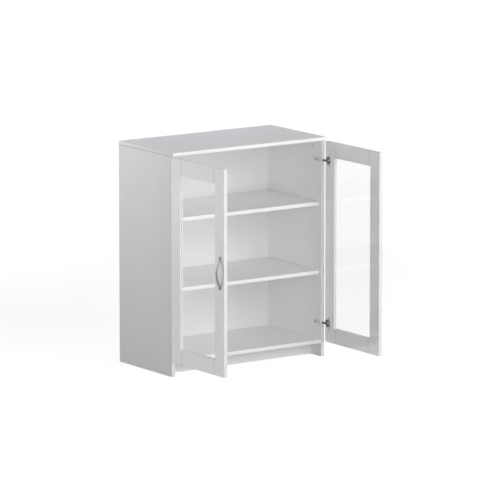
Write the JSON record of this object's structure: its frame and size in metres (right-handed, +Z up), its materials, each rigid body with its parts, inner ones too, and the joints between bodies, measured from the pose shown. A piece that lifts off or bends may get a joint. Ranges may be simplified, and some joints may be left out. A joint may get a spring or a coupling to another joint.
{
  "type": "glazed display cabinet",
  "caption": "Low white display cabinet with side-hinged glazed frame doors, bow handles, concealed hinges, loose shelves and a recessed plinth.",
  "frame": {"origin": "floor level, at the centre of the box around the cabinet with both doors open at a right angle", "axes": "+Z up, +Y towards the back, +X to the right when facing the front"},
  "size_m": [0.89, 0.8428, 1],
  "materials": {
    "white_board": "particle board faced in smooth white melamine, satin gloss",
    "white_door_board": "board faced in smooth white melamine, satin gloss, with lightly rounded edges",
    "white_back_board": "thin hardboard with a white printed face",
    "door_glass": "clear float glass",
    "handle_nickel": "satin nickel plating",
    "hinge_nickel": "nickel plated pressed steel",
    "hinge_dark_steel": "dark nickel plated steel strip",
    "plated_steel": "zinc plated steel",
    "zinc_alloy": null,
    "beech": "plain turned beech",
    "white_plastic": "matt white moulded plastic",
    "clear_rubber": "soft translucent dome"
  },
  "bodies": {
    "cabinet": {"top_panel": "white_board", "left_side_panel": "white_board", "right_side_panel": "white_board", "bottom_panel": "white_board", "plinth": "white_board", "back_panel": "white_back_board", "upper_shelf": "white_board", "lower_shelf": "white_board", "upper_shelf_supports": "plated_steel", "lower_shelf_supports": "plated_steel", "cam_locks": "zinc_alloy", "cam_bolts": "plated_steel", "cam_caps": "white_plastic", "dowels": "beech", "back_nails": "plated_steel", "left_upper_hinge_plate": "hinge_nickel", "left_lower_hinge_plate": "hinge_nickel", "right_upper_hinge_plate": "hinge_nickel", "right_lower_hinge_plate": "hinge_nickel", "left_upper_hinge_arm": "hinge_nickel", "left_lower_hinge_arm": "hinge_nickel", "right_upper_hinge_arm": "hinge_nickel", "right_lower_hinge_arm": "hinge_nickel", "hinge_plate_screws": "plated_steel", "hinge_arm_screws": "plated_steel", "hinge_link_pins": "plated_steel"},
    "left_door": {"left_door_hinge_stile": "white_door_board", "left_door_handle_stile": "white_door_board", "left_door_top_rail": "white_door_board", "left_door_bottom_rail": "white_door_board", "left_door_glass": "door_glass", "left_door_handle": "handle_nickel", "left_door_handle_screws": "plated_steel", "left_door_bumper": "clear_rubber", "left_upper_hinge_cup": "hinge_nickel", "left_lower_hinge_cup": "hinge_nickel", "left_hinge_cup_screws": "plated_steel"},
    "right_door": {"right_door_hinge_stile": "white_door_board", "right_door_handle_stile": "white_door_board", "right_door_top_rail": "white_door_board", "right_door_bottom_rail": "white_door_board", "right_door_glass": "door_glass", "right_door_handle": "handle_nickel", "right_door_handle_screws": "plated_steel", "right_door_bumper": "clear_rubber", "right_upper_hinge_cup": "hinge_nickel", "right_lower_hinge_cup": "hinge_nickel", "right_hinge_cup_screws": "plated_steel"},
    "left_hinge_links": {"left_upper_hinge_link": "hinge_dark_steel", "left_lower_hinge_link": "hinge_dark_steel"},
    "right_hinge_links": {"right_upper_hinge_link": "hinge_dark_steel", "right_lower_hinge_link": "hinge_dark_steel"}
  },
  "joints": [
    {"name": "left_door_hinge", "type": "hinge", "parent": "cabinet", "child": "left_door", "pos_m": [-0.4144, -0.0085, 0.526], "axis": [0, 0, -1], "range_deg": [-90, 15]},
    {"name": "right_door_hinge", "type": "hinge", "parent": "cabinet", "child": "right_door", "pos_m": [0.4144, -0.0085, 0.526], "axis": [0, 0, 1], "range_deg": [-90, 15]},
    {"name": "left_hinge_link_pivot", "type": "hinge", "parent": "cabinet", "child": "left_hinge_links", "pos_m": [-0.3962, -0.0082, 0.526], "axis": [0, 0, -1], "range_deg": [-118, 20]},
    {"name": "right_hinge_link_pivot", "type": "hinge", "parent": "cabinet", "child": "right_hinge_links", "pos_m": [0.3962, -0.0082, 0.526], "axis": [0, 0, 1], "range_deg": [-118, 20]}
  ],
  "couplings": [
    {"joint": "left_hinge_link_pivot", "follows": "left_door_hinge", "ratio": 1.3},
    {"joint": "right_hinge_link_pivot", "follows": "right_door_hinge", "ratio": 1.3}
  ]
}
